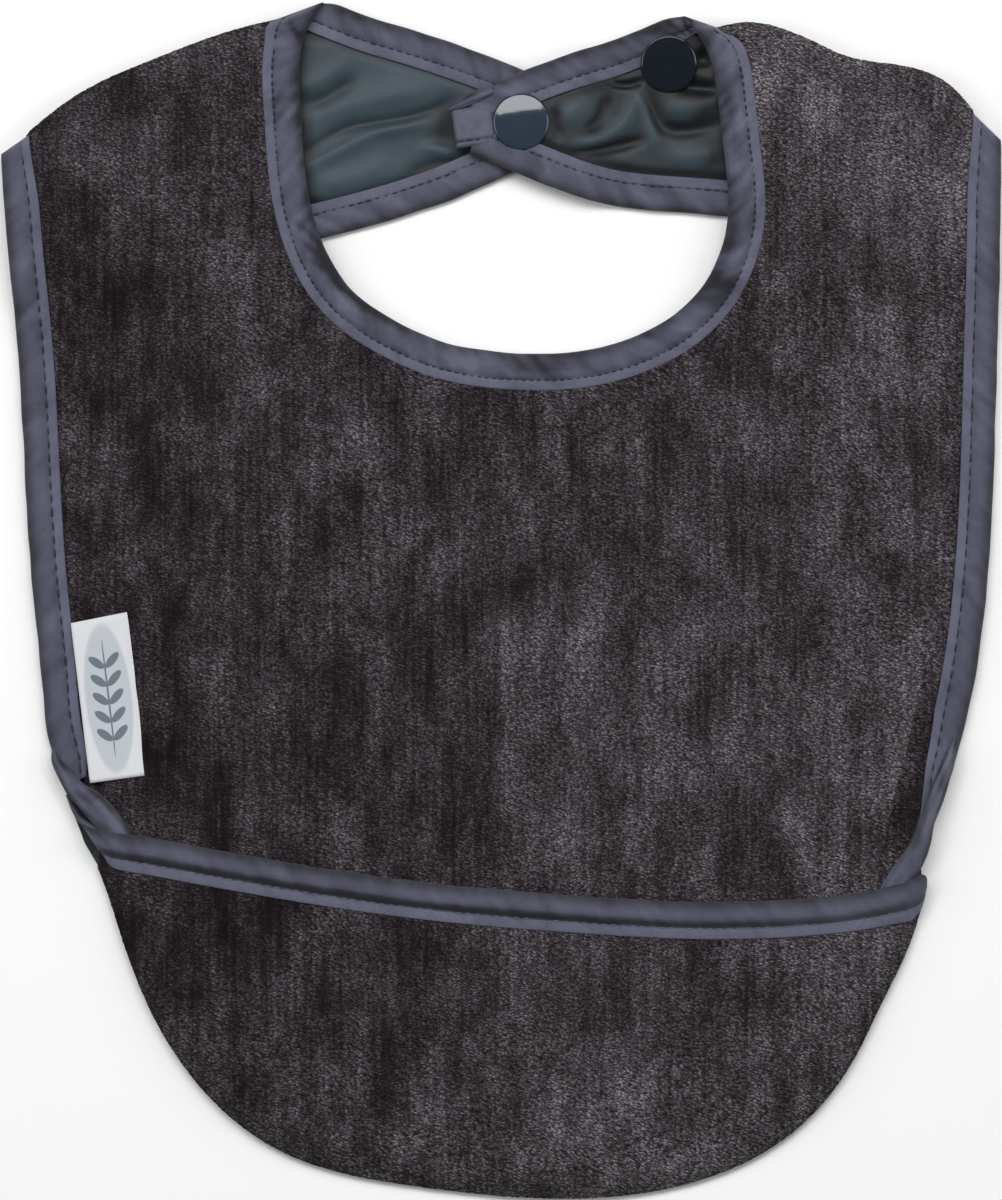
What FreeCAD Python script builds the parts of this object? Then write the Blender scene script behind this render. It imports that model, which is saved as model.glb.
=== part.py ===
import FreeCAD, Part
import os
from math import copysign, hypot

# A baby's pocket bib lying flat, front up, with its two neck straps folded behind the shoulders
# and snapped together. Velour towelling faces the front, proofed nylon lines the back, and tape
# binds the edges. +Y points to the neck, +X to the viewer's right, and the bib rests on z = 0.

# ---- Driving dimensions, in millimetres ----------------------------------------------------
PILE = 2.0  # thickness of the velour towelling
NYLON = 0.4  # thickness of the proofed nylon
CLOTH = PILE + NYLON
TAPE = 0.6  # how far a folded binding stands proud of the cloth
TAPE_WIDTH = 8.5  # finished width of the binding
GAP = 0.3  # clearance between pieces that move apart
REACH = 160.0  # larger than the bib, for cutting tools
OVERLAP = 4.0  # how far cutting tools reach past an edge

# The shoulders lie on top of the folded straps, and the end of the right strap on the left strap.
SHOULDER_LIFT = 3.3
SHOULDER_RAMP = (66.0, 84.0)  # the body rises over this stretch of Y
STRAP_LIFT = 3.6
STRAP_RAMP = (18.0, 31.0)  # the right strap comes down over this stretch of X
PEEL_LINE = 32.0  # the right strap bends at this X as its end is peeled off the snap
TAB_WRAP = 0.1  # how far the tape folded round the strap's end hangs below it

# Snap fasteners, size 24: cap, stud and socket moulded in plastic.
CAP_RADIUS = 7.1
CAP_HEIGHT = 1.6
CAP_RIM = 0.55  # height of the cap's upright edge
FLANGE_RADIUS = 5.2
FLANGE_HEIGHT = 0.8
POST_RADIUS = 1.7
POST_HEIGHT = 1.3
SOCKET_RADIUS = 5.6
SOCKET_HEIGHT = 1.6
SOCKET_BORE_RADIUS = 2.1
SOCKET_ROOF = 0.4
STEM_RADIUS = 1.0
STEM_HOLE_RADIUS = 1.15
LONG_STEM = 1.5  # through the cloth into the stud's flange
SHORT_STEM = 1.2  # through the cloth and the socket's roof
PRESSED_PILE = 0.4  # what is left of the pile where a snap squeezes it
SNAP_INNER = (5.0, 119.5)  # where the two straps are snapped together
SNAP_OUTER = (42.0, 134.0)  # the spare socket on the right strap

# The pocket's front arches over the bib. These are the heights of its underside.
ARCH_RIM = 4.2
ARCH_NEAR_RIM = 6.0
ARCH_QUARTER = 7.1
ARCH_MIDDLE = 7.6
TURNED_EDGE = 0.7  # the front's turned edge comes down to this height
BODY_INSET = 3.2  # the body's towelling stops this far inside the pocket's rim
SEAM_INSET = 3.0  # and the bound seam lies this far inside it
SEAM_WIDTH = 7.5
SEAM_HEIGHT = 2.1

LABEL_LOW = 2.8
LABEL_HIGH = 3.5

# ---- Plan outlines: points on each edge, joined by a smooth curve ----------------------------
LEFT_SIDE = [(-112.3, -38), (-115, -19), (-117, 0), (-119, 28), (-120.9, 62), (-124, 96), (-125, 111.5)]
RIGHT_SIDE = [(110.5, -50), (117.6, -25), (121.3, 0), (123.9, 50), (124.7, 85), (125, 115)]
LEFT_SHOULDER = [(-118, 117.2), (-106.5, 126), (-88, 134.8), (-63, 143.6), (-57, 145)]
RIGHT_SHOULDER = [
    (54, 143.2), (61, 144.5), (70, 143), (80, 138.8), (87, 135.8), (93, 134.6), (106, 132.2), (112.5, 128.6), (118, 122.4),
]
NECK = [
    (-44, 150), (-49, 141), (-50, 122), (-48, 101), (-43.4, 86.5), (-37.2, 77.5), (-26.8, 70), (-13, 64.2),
    (4, 61.8), (20.5, 62.4), (33.8, 66.1), (46.3, 73.8), (54, 85), (56.8, 98), (55.6, 112.5), (54.2, 125), (51.6, 137),
    (46, 146),
]
LEFT_NECK_EDGE = [(-44, 150), (-25, 143.5), (6, 132.5), (12, 129)]
LEFT_TIP = [(12, 129), (15.5, 119.5), (8, 109.5)]
LEFT_OUTER_EDGE = [(8, 109.5), (-13, 100), (-45, 90.5), (-72, 86.5), (-93, 91), (-110, 101), (-122, 113.6)]
RIGHT_NECK_EDGE = [(-10, 125.5), (6, 132.5), (25, 139), (46, 146)]
RIGHT_OUTER_EDGE = [(120, 119), (110, 105), (94, 97), (75, 94), (57, 96), (22, 100), (5, 106.3), (-10, 112)]
END_TAB = [(-13.3, 122.5), (-3, 124.2), (-1.8, 113.5), (-11.5, 111.9)]

LEFT_CORNER = [(-112.3, -38), (-109, -50)]
RIM = [
    (-101, -57), (-100.3, -67), (-94, -88), (-82, -113), (-57, -137), (-21, -146.8), (12, -149.8),
    (45, -146.6), (70.8, -135), (87, -117.3), (95.8, -100), (102, -87), (107.3, -66),
]
RIGHT_CORNER = [(108.5, -57), (110.5, -50)]
MOUTH = [(-101, -56.5), (-81, -60.5), (-50, -66), (0, -72.3), (50, -75.3), (80, -74.2), (99, -71), (107.3, -66)]
LEFT_TUCK = [(-112, -36), (-106, -49), (-94.5, -62)]
RIGHT_TUCK = [(107.5, -46), (103.5, -62), (98.8, -73)]
TUCK_WIDTH = 6.4

LABEL = [(-107.3, -5.8), (-93.5, -3), (-88.5, -43.8), (-102.6, -45.8)]

# ---- Tools -----------------------------------------------------------------------------------


def edge_through(points):
    """A straight edge for two points, a smooth curve for more."""
    vectors = [FreeCAD.Vector(x, y, 0) for x, y in points]
    if len(vectors) == 2:
        return Part.makeLine(*vectors)
    curve = Part.BSplineCurve()
    curve.interpolate(vectors)
    return curve.toShape()


def shifted(points, distance):
    """The line moved sideways, to the left of its direction for a positive distance."""
    moved = []
    last = len(points) - 1
    for i, (x, y) in enumerate(points):
        x0, y0 = points[max(i - 1, 0)]
        x1, y1 = points[min(i + 1, last)]
        length = hypot(x1 - x0, y1 - y0)
        moved.append((x - (y1 - y0) / length * distance, y + (x1 - x0) / length * distance))
    return moved


def longer(points, extra):
    """The line with both ends drawn out, straight on."""
    ends = []
    for (x0, y0), (x1, y1) in ((points[1], points[0]), (points[-2], points[-1])):
        length = hypot(x1 - x0, y1 - y0)
        ends.append((x1 + (x1 - x0) / length * extra, y1 + (y1 - y0) / length * extra))
    return [ends[0]] + points + [ends[1]]


def area(*lines):
    """A flat face inside the lines, taken in order. Straight edges join one line to the next."""
    edges = []
    for i, line in enumerate(lines):
        edges.append(edge_through(line))
        end, start = line[-1], lines[(i + 1) % len(lines)][0]
        if hypot(end[0] - start[0], end[1] - start[1]) > 0.001:
            edges.append(edge_through([end, start]))
    return Part.Face(Part.Wire(edges))


def prism(face, low, high):
    """The face raised from one height to another."""
    base = face.copy()
    base.translate(FreeCAD.Vector(0, 0, low))
    return base.extrude(FreeCAD.Vector(0, 0, high - low))


def column(face):
    """The face raised through the whole height of the bib."""
    return prism(face, -5, 30)


def strip(line, width):
    """A column along an edge of the cloth, to the left of the line, that also reaches past the edge."""
    return column(area(shifted(line, copysign(OVERLAP, -width)), shifted(line, width)[::-1]))


def wall(line, width, high):
    """An upright wall to the left of a line, from the floor up."""
    return prism(area(line, shifted(line, width)[::-1]), 0, high)


def quad(corners):
    """A flat face with four straight sides."""
    a, b, c, d = corners
    return area([a, b], [b, c], [c, d], [d, a])


def block(x_range, y_range, z_range):
    """A plain box."""
    (x0, x1), (y0, y1), (z0, z1) = x_range, y_range, z_range
    return Part.makeBox(x1 - x0, y1 - y0, z1 - z0, FreeCAD.Vector(x0, y0, z0))


def layer(run, low, high, place, along):
    """A layer between two heights above a run of (distance, rise) pairs, extruded along an axis."""
    section = [place(d, low + rise) for d, rise in run] + [place(d, high + rise) for d, rise in run[::-1]]
    return Part.Face(Part.makePolygon(section + section[:1])).extrude(along)


def body_layer(low, high):
    """A layer of the bib, flat at the belly and lifted at the shoulders."""
    run = [(-REACH, 0), (SHOULDER_RAMP[0], 0), (SHOULDER_RAMP[1], SHOULDER_LIFT), (REACH, SHOULDER_LIFT)]
    return layer(run, low, high, lambda y, z: FreeCAD.Vector(-REACH, y, z), FreeCAD.Vector(2 * REACH, 0, 0))


def strap_layer(low, high):
    """A layer of the right strap, lifted where its end lies on the left strap."""
    run = [(-REACH, STRAP_LIFT), (STRAP_RAMP[0], STRAP_LIFT), (STRAP_RAMP[1], 0), (REACH, 0)]
    return layer(run, low, high, lambda x, z: FreeCAD.Vector(x, -REACH, z), FreeCAD.Vector(0, 2 * REACH, 0))


def under_curve(heights, place, along):
    """Everything under a curve through (distance, height) pairs, extruded along an axis."""
    points = [place(distance, height) for distance, height in heights]
    curve = Part.BSplineCurve()
    curve.interpolate(points)
    foot, head = place(heights[-1][0], 0), place(heights[0][0], 0)
    sides = Part.makePolygon([points[-1], foot, head, points[0]])
    return Part.Face(Part.Wire([curve.toShape()] + sides.Edges)).extrude(along)


def pocket_arch(extra):
    """The space under the pocket's arched front, with its top raised by an extra height."""
    across = [(-118, ARCH_RIM), (-98, ARCH_NEAR_RIM), (-70, ARCH_QUARTER), (0, ARCH_MIDDLE)]
    across += [(-x, z) for x, z in across[-2::-1]]
    down = [(-154, ARCH_RIM), (-143, ARCH_NEAR_RIM), (-122, ARCH_QUARTER), (-80, ARCH_MIDDLE), (-20, ARCH_MIDDLE)]
    across = [(x, z + extra) for x, z in across]
    down = [(y, z + extra) for y, z in down]
    front = under_curve(across, lambda x, z: FreeCAD.Vector(x, -REACH, z), FreeCAD.Vector(0, 2 * REACH, 0))
    side = under_curve(down, lambda y, z: FreeCAD.Vector(-REACH, y, z), FreeCAD.Vector(2 * REACH, 0, 0))
    return front.common(side)


def save(name, shape):
    """Writes one node, and stops if it isn't made of closed, valid solids."""
    solids = [solid for solid in shape.Solids if solid.Volume > 0.5]
    if not solids:
        raise RuntimeError(name + " has no solid")
    node = solids[0] if len(solids) == 1 else Part.makeCompound(solids)
    if not node.isValid():
        raise RuntimeError(name + " is not valid")
    node.exportStep("parts/" + name + ".step")
    box = node.optimalBoundingBox()
    print(
        f"{name:28s} solids {len(solids)} volume {node.Volume:9.1f} x {box.XMin:8.2f} {box.XMax:8.2f} "
        f"y {box.YMin:8.2f} {box.YMax:8.2f} z {box.ZMin:6.2f} {box.ZMax:6.2f}"
    )


# ---- Snap fasteners --------------------------------------------------------------------------


def cylinder(centre, radius, low, high):
    """An upright cylinder between two heights."""
    return Part.makeCylinder(radius, high - low, FreeCAD.Vector(centre[0], centre[1], low))


def snap_cap(centre, seat, stem_length, facing_up):
    """A shallow domed cap sitting on the cloth at height seat, with a stem that goes through it."""
    crown = [(CAP_RADIUS, CAP_RIM), (CAP_RADIUS * 0.83, CAP_HEIGHT * 0.8), (CAP_RADIUS * 0.45, CAP_HEIGHT * 0.97)]
    profile = [(0, 0), (CAP_RADIUS, 0)] + crown + [(0, CAP_HEIGHT)]
    points = [FreeCAD.Vector(r, 0, z) for r, z in profile]
    face = Part.Face(Part.makePolygon(points + points[:1]))
    origin, upright = FreeCAD.Vector(0, 0, 0), FreeCAD.Vector(0, 0, 1)
    cap = face.revolve(origin, upright, 360).fuse(cylinder((0, 0), STEM_RADIUS, -stem_length, CAP_RIM))
    if not facing_up:
        cap.rotate(origin, FreeCAD.Vector(1, 0, 0), 180)
    cap.translate(FreeCAD.Vector(centre[0], centre[1], seat))
    return cap


def snap_stud(centre, seat):
    """A flange with a post on the cloth's upper side, with a blind hole for the cap's stem."""
    flange = cylinder(centre, FLANGE_RADIUS, seat, seat + FLANGE_HEIGHT)
    post = cylinder(centre, POST_RADIUS, seat, seat + FLANGE_HEIGHT + POST_HEIGHT)
    return flange.fuse(post).cut(cylinder(centre, STEM_HOLE_RADIUS, seat - 1, seat + FLANGE_HEIGHT))


def snap_socket(centre, top):
    """A ring under the cloth, open below for a post, with a thin roof that the cap's stem pierces."""
    ring = cylinder(centre, SOCKET_RADIUS, top - SOCKET_HEIGHT, top)
    bore = cylinder(centre, SOCKET_BORE_RADIUS, top - SOCKET_HEIGHT - 1, top - SOCKET_ROOF)
    return ring.cut(bore).cut(cylinder(centre, STEM_HOLE_RADIUS, top - SOCKET_HEIGHT - 1, top + 1))


def pressed(cloth, centre, seat, upper_radius, foot, lower_radius):
    """Cloth squeezed at a snap: cleared above seat and below foot, and pierced for the stem."""
    room = cylinder(centre, upper_radius + GAP, seat, seat + 9)
    room = room.fuse(cylinder(centre, lower_radius + GAP, foot - 9, foot))
    return cloth.cut(room.fuse(cylinder(centre, STEM_HOLE_RADIUS, foot - 9, seat + 9)))


# ---- The bib's body ----------------------------------------------------------------------------


def body_plan(rim_inset, shoulder_inset):
    """The bib's plan, drawn in at the pocket's rim and at the folded shoulders."""
    return area(
        shifted(LEFT_CORNER + RIM[1:] + RIGHT_CORNER, rim_inset),
        RIGHT_SIDE,
        shifted(RIGHT_SHOULDER, -shoulder_inset)[::-1],
        NECK[::-1],
        shifted(LEFT_SHOULDER, -shoulder_inset)[::-1],
        LEFT_SIDE[::-1],
    )


def make_body():
    """The front towelling and back nylon, and the tapes that bind them."""
    plan = column(body_plan(0, 0))
    bound = body_layer(0, CLOTH + TAPE).common(plan)
    fold_top = SHOULDER_LIFT + CLOTH + TAPE
    fold_width = -(PILE + TAPE)
    tuck_top = CLOTH + SEAM_HEIGHT

    neck = bound.common(strip(longer(NECK, 12), -TAPE_WIDTH))
    left = bound.common(strip(longer(LEFT_SIDE, 12), -TAPE_WIDTH).common(block((-REACH, 0), (-38, REACH), (-9, 30))))
    right = bound.common(strip(longer(RIGHT_SIDE, 12), TAPE_WIDTH).common(block((0, REACH), (-51, REACH), (-9, 30))))
    neck = neck.fuse(wall([LEFT_SHOULDER[-1], NECK[0]], fold_width, fold_top).common(plan))
    neck = neck.fuse(wall([NECK[-1], RIGHT_SHOULDER[0]], fold_width, fold_top).common(plan))
    left = left.fuse(wall([LEFT_SIDE[-1], LEFT_SHOULDER[0]], fold_width, fold_top))
    right = right.fuse(wall([RIGHT_SHOULDER[-1], RIGHT_SIDE[-1]], fold_width, fold_top))
    left_tuck, right_tuck = (
        prism(area(shifted(line, -TUCK_WIDTH / 2), shifted(line, TUCK_WIDTH / 2)[::-1]), CLOTH, tuck_top)
        for line in (LEFT_TUCK, RIGHT_TUCK)
    )
    left = left.fuse(left_tuck)
    right = right.fuse(right_tuck)

    towelling = body_layer(NYLON, CLOTH).common(column(body_plan(BODY_INSET, PILE)))
    nylon = body_layer(0, NYLON).common(column(body_plan(2 * GAP, CLOTH)))
    for tape in (neck, left, right):
        towelling = towelling.cut(tape)
        nylon = nylon.cut(tape)
    save("front_towelling", towelling)
    save("back_nylon", nylon)
    save("neck_binding", neck)
    save("left_side_binding", left)
    save("right_side_binding", right)

    seam = prism(area(shifted(RIM, SEAM_INSET), shifted(RIM, SEAM_INSET + SEAM_WIDTH)[::-1]), CLOTH, tuck_top)
    seam = seam.cut(left_tuck).cut(right_tuck)
    # The tape ends at the tucks, so the scrap beyond the right one is left out.
    seam = seam.common(block((-REACH, REACH), (-REACH, -62.2), (0, 9)))
    save("pocket_seam_binding", max(seam.Solids, key=lambda solid: solid.Volume))
    return neck.fuse([left, right])


# ---- The straps, folded to the back ------------------------------------------------------------


def shoulder_fold(shoulder, low_inset, high_inset, low, high):
    """The cloth's turn at a shoulder: a wall between two insets from the folded edge."""
    face = area(shifted(shoulder, -low_inset), shifted(shoulder, -high_inset)[::-1])
    return prism(face, low, high)


def strap_pieces(plan, neck_strip, outer_strip, shoulder, body_tapes, layer_between):
    """A strap's towelling, nylon and two edge tapes, cut round the body's own tapes."""
    bound = layer_between(0, CLOTH + TAPE).common(plan).cut(body_tapes)
    neck_tape = bound.common(neck_strip)
    outer_tape = bound.common(outer_strip).cut(neck_strip)
    tapes = body_tapes.fuse([neck_tape, outer_tape])
    cloth = plan.cut(neck_strip).cut(outer_strip)

    top = SHOULDER_LIFT + CLOTH
    towelling = layer_between(0, PILE).common(cloth)
    towelling = towelling.fuse(shoulder_fold(shoulder, 0, PILE, 0, top)).cut(tapes)
    turn = shoulder_fold(shoulder, PILE, CLOTH, PILE, SHOULDER_LIFT + NYLON)
    nylon = layer_between(PILE, CLOTH).common(cloth).fuse(turn)
    nylon = nylon.cut(shoulder_fold(shoulder, -OVERLAP, PILE, 0, 9)).cut(tapes)
    return towelling, nylon, neck_tape, outer_tape


def flat_layer(low, high):
    """A layer of the left strap, which lies flat."""
    return block((-REACH, REACH), (0, REACH), (low, high))


def make_left_strap(body_tapes):
    """The left strap: from the shoulder fold to a rounded tip, with the stud of the snap."""
    plan = column(area(LEFT_NECK_EDGE, LEFT_TIP, LEFT_OUTER_EDGE, LEFT_SHOULDER))
    neck_strip = strip(longer(LEFT_NECK_EDGE, 9), -TAPE_WIDTH).fuse(strip(LEFT_TIP, -TAPE_WIDTH))
    outer_strip = strip(longer(LEFT_OUTER_EDGE, 9), -TAPE_WIDTH)
    pieces = strap_pieces(plan, neck_strip, outer_strip, LEFT_SHOULDER, body_tapes, flat_layer)
    foot = PILE - PRESSED_PILE
    for name, piece in zip(("towelling", "nylon", "neck_binding", "outer_binding"), pieces):
        save("left_strap_" + name, pressed(piece, SNAP_INNER, CLOTH, FLANGE_RADIUS, foot, CAP_RADIUS))
    save("left_snap_cap", snap_cap(SNAP_INNER, foot, LONG_STEM, False))
    save("left_snap_stud", snap_stud(SNAP_INNER, CLOTH))


def make_right_strap(body_tapes):
    """The right strap: a fixed run with a spare socket, and an end that peels off the left strap."""
    plan = column(area(RIGHT_NECK_EDGE, RIGHT_SHOULDER, RIGHT_OUTER_EDGE))
    neck_strip = strip(longer(RIGHT_NECK_EDGE, 9), -TAPE_WIDTH)
    outer_strip = strip(longer(RIGHT_OUTER_EDGE, 9), -TAPE_WIDTH)
    pieces = strap_pieces(plan, neck_strip, outer_strip, RIGHT_SHOULDER, body_tapes, strap_layer)
    tab = prism(quad(END_TAB), STRAP_LIFT - TAB_WRAP, STRAP_LIFT + CLOTH + TAPE + GAP)

    foot = PILE - PRESSED_PILE
    run = block((PEEL_LINE + GAP / 2, REACH), (0, REACH), (-9, 30))
    end = block((-REACH, PEEL_LINE - GAP / 2), (0, REACH), (-9, 30)).cut(tab)
    for name, piece in zip(("towelling", "nylon", "neck_binding", "outer_binding"), pieces):
        fixed = pressed(piece.common(run), SNAP_OUTER, CLOTH, CAP_RADIUS, foot, SOCKET_RADIUS)
        save("right_strap_" + name, fixed)
        loose = piece.common(end)
        loose = pressed(loose, SNAP_INNER, STRAP_LIFT + CLOTH, CAP_RADIUS, STRAP_LIFT + foot, SOCKET_RADIUS)
        save("strap_end_" + name, loose)
    tab = pressed(tab, SNAP_INNER, STRAP_LIFT + CLOTH, CAP_RADIUS, STRAP_LIFT + foot, SOCKET_RADIUS)
    save("strap_end_fold_tab", tab)
    save("inner_snap_cap", snap_cap(SNAP_INNER, STRAP_LIFT + CLOTH, SHORT_STEM, True))
    save("inner_snap_socket", snap_socket(SNAP_INNER, STRAP_LIFT + foot))
    save("outer_snap_cap", snap_cap(SNAP_OUTER, CLOTH, SHORT_STEM, True))
    save("outer_snap_socket", snap_socket(SNAP_OUTER, foot))


# ---- The pocket's front and the label ----------------------------------------------------------


def make_pocket():
    """The pocket's front: towelling outside, nylon inside, turned at the rim and bound at the mouth."""
    outline = column(area(RIM, MOUTH[::-1]))
    lip = shifted(longer(MOUTH, 12), -TAPE_WIDTH)
    below_lip = column(area(lip, [(REACH, -REACH), (-REACH, -REACH)]))
    low = block((-REACH, REACH), (-REACH, 0), (-9, TURNED_EDGE))

    def shell(extra, inset):
        """The pocket's front as a solid block, up to a height above the arch."""
        rim = shifted(RIM, inset)
        return pocket_arch(extra).common(column(area(rim, [(REACH, 0), (-REACH, 0)]))).common(below_lip)

    lining_outside = shell(NYLON, PILE)
    save("pocket_towelling", shell(CLOTH, 0).cut(lining_outside).cut(low))
    save("pocket_lining", lining_outside.cut(shell(0, CLOTH)).cut(low))
    tape = pocket_arch(CLOTH + TAPE).cut(pocket_arch(NYLON - TAPE))
    save("pocket_mouth_binding", tape.common(outline).cut(below_lip))


os.makedirs("parts", exist_ok=True)
body_tapes = make_body()
make_left_strap(body_tapes)
make_right_strap(body_tapes)
make_pocket()
save("side_label", prism(quad(LABEL), LABEL_LOW, LABEL_HIGH))
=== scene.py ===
from math import cos, pi, radians, sin

import bpy
import numpy as np
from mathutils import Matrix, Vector
from mathutils.geometry import delaunay_2d_cdt
from mathutils.noise import noise


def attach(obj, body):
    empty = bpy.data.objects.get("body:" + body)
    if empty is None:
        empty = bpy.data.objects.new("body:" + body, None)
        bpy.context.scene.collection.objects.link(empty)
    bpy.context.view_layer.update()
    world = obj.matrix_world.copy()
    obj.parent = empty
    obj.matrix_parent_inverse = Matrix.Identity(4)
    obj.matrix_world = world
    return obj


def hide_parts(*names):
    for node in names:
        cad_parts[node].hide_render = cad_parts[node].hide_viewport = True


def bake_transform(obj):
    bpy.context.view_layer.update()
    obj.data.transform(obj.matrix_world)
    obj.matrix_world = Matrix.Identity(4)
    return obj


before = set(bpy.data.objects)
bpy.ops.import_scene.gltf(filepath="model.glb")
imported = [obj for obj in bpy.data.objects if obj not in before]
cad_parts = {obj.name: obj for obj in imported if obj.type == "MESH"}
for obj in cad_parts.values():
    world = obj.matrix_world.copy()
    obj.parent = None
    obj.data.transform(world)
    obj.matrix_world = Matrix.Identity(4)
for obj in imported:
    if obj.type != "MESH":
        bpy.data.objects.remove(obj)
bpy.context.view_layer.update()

# Shapes are worked out in millimetres, in the CAD frame, and scaled to metres in their meshes.
MM = 0.001

# ---- Sizes ----
CLOTH = 2.4  # towelling and nylon together
SHOULDER_LIFT = 3.3  # the shoulders lie on the folded straps
SHOULDER_RAMP = (62.0, 88.0)  # where the body rises to the shoulders, along Y
SHOULDER_TOP = SHOULDER_LIFT + CLOTH
SHOULDER_RADIUS = 3.2  # the round turn of the cloth at a shoulder
STRAP_LIFT = 3.6  # the right strap's end lies on the left strap
STRAP_RAMP = (18.0, 31.0)  # where it comes down again, along X
POCKET_HEIGHT = 9.0  # the pocket's front at its middle
TAPE_WIDTH = 9.0  # about the body's tapes
STRAP_TAPE = 8.8
GAP = 1.5  # from a tape's end to its first stitch
THREAD_RADIUS = 0.23
SNAP_INNER = (5.0, 119.5)
SNAP_OUTER = (42.0, 134.0)

# ---- Edges, as points joined by a smooth curve ----
LEFT_SIDE = [
    (-108.4, -46.5), (-112.3, -38), (-115, -19), (-117, 0), (-119, 28), (-120.9, 62), (-124, 96),
    (-125, 111.5),
]
RIGHT_SIDE = [(107.6, -57), (113, -42.5), (117.6, -25), (121.3, 0), (123.9, 50), (124.7, 85), (125, 115)]
LEFT_SHOULDER = [(-118, 117.2), (-106.5, 126), (-88, 134.8), (-63, 143.6), (-57, 145)]
RIGHT_SHOULDER = [
    (54, 143.2), (61, 144.5), (70, 143), (80, 138.8), (87, 135.8), (93, 134.6), (106, 132.2),
    (112.5, 128.6), (118, 122.4),
]
NECK = [
    (-44.4, 149.6), (-49, 141), (-50, 122), (-48, 101), (-43.4, 86.5), (-37.2, 77.5), (-26.8, 70),
    (-13, 64.2), (4, 61.8), (20.5, 62.4), (33.8, 66.1), (46.3, 73.8), (54, 85), (56.8, 98),
    (55.6, 112.5), (54.2, 125), (51.6, 137), (46, 146),
]
LEFT_NECK_EDGE = [(-44.6, 149.3), (-41.6, 149.2), (-37, 147.5), (-25, 143.5), (6, 132.5), (12, 129)]
LEFT_TIP = [(12, 129), (15.5, 119.5), (8, 109.5)]
LEFT_OUTER_EDGE = [(8, 109.5), (-13, 100), (-45, 90.5), (-72, 86.5), (-93, 91), (-110, 101), (-122, 113.6)]
RIGHT_NECK_EDGE = [
    (-8.5, 124.8), (-3.4, 127.6), (6, 132.4), (25, 139), (36, 143.3), (41.3, 145.4), (46, 146),
]
RIGHT_OUTER_EDGE = [
    (120, 119), (110, 105), (94, 97), (75, 94), (57, 96), (22, 100), (5, 106.3), (-8, 111.3),
]
RIM = [
    (-101, -67), (-100, -69.5), (-93.8, -88), (-82, -113), (-57, -137), (-21, -146.8), (12, -149.8),
    (45, -146.6), (70.8, -135), (87, -117.3), (95.8, -100), (102, -87), (106, -74.5),
]
MOUTH = [
    (-101, -56.5), (-81, -60.5), (-50, -66), (0, -72.3), (50, -75.3), (80, -74.2), (99, -71),
    (107.3, -66),
]


# ---- Curves ----


def lengths(points):
    """How far along the polyline each of its points is."""
    return np.concatenate(([0], np.cumsum(np.linalg.norm(np.diff(points, axis=0), axis=1))))


def smooth(points, step=0.8):
    """Evenly spaced points on a natural cubic spline through the given points."""
    per_point = 40  # fine points before the spacing is evened
    p = np.array(points, float)
    t = lengths(p)
    h = np.diff(t)
    n = len(p)
    system, right = np.eye(n), np.zeros_like(p)
    for i in range(1, n - 1):
        system[i, i - 1 : i + 2] = h[i - 1], 2 * (h[i - 1] + h[i]), h[i]
        right[i] = 6 * ((p[i + 1] - p[i]) / h[i] - (p[i] - p[i - 1]) / h[i - 1])
    bend = np.linalg.solve(system, right)
    u = np.linspace(0, t[-1], per_point * n)
    k = np.clip(np.searchsorted(t, u, side="right") - 1, 0, n - 2)
    a, b, w = (t[k + 1] - u)[:, None], (u - t[k])[:, None], h[k][:, None]
    fine = (bend[k] * a**3 + bend[k + 1] * b**3) / (6 * w)
    fine += (p[k] / w - bend[k] * w / 6) * a + (p[k + 1] / w - bend[k + 1] * w / 6) * b
    return resampled(fine, step)


def resampled(points, step):
    """The polyline with evenly spaced points."""
    p = np.array(points, float)
    s = lengths(p)
    count = max(2, int(round(s[-1] / step)) + 1)
    at = np.linspace(0, s[-1], count)
    return np.stack([np.interp(at, s, p[:, i]) for i in range(p.shape[1])], axis=1)


def normals(path):
    """Unit vectors to the left of the path."""
    d = np.gradient(path[:, :2], axis=0)
    d /= np.linalg.norm(d, axis=1)[:, None]
    return np.stack([-d[:, 1], d[:, 0]], axis=1)


def offset(path, distance):
    """The path moved to its left."""
    return path[:, :2] + normals(path) * distance


def distance(path, points):
    """How far each point is from the path."""
    out = np.full(len(points), 1e9)
    batch = 60
    for q in np.array_split(np.asarray(path)[:, :2], max(1, len(path) // batch)):
        d = np.hypot(points[:, None, 0] - q[None, :, 0], points[:, None, 1] - q[None, :, 1])
        out = np.minimum(out, d.min(axis=1))
    return out


def ramp(x, low, high):
    """0 below low, 1 above high, and smooth between them."""
    t = np.clip((np.asarray(x, float) - low) / (high - low), 0, 1)
    return t * t * (3 - 2 * t)


def wobble(x, y, size, seed):
    """Smooth noise from about -1 to 1, with bumps of the given size."""
    return np.array([noise((a / size, b / size, seed)) for a, b in zip(np.ravel(x), np.ravel(y))])


def fuzzy(line):
    """A line as the edge of a pile: the tufts stand out a little, each by its own amount."""
    amount = 0.13
    fine = resampled(line, 0.4)
    rough = wobble(np.arange(len(fine)), fine[:, 0], 1.7, 21.5)
    return fine[:, :2] + normals(fine) * (amount * rough)[:, None]


def folds(x, y, lines):
    """The height of soft folds. Each line has its points, half width and height (negative for a groove)."""
    points = np.stack([x, y], axis=1)
    total = np.zeros(len(x))
    for line, half_width, height in lines:
        path = smooth(line, 0.5)
        reach = np.hypot(points[:, None, 0] - path[None, :, 0], points[:, None, 1] - path[None, :, 1])
        near = reach.argmin(axis=1)
        along = near / (len(path) - 1)
        fade = ramp(np.minimum(along, 1 - along), -0.15, 0.3)
        total += height * fade * np.exp(-((reach.min(axis=1) / half_width) ** 2))
    return total


# ---- Heights of the cloth ----


def flat_base(x, y):
    """The underside of the left strap, on the floor."""
    return np.zeros(len(x))


def body_base(x, y):
    """The underside of the bib's body."""
    return SHOULDER_LIFT * ramp(y, *SHOULDER_RAMP)


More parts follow.
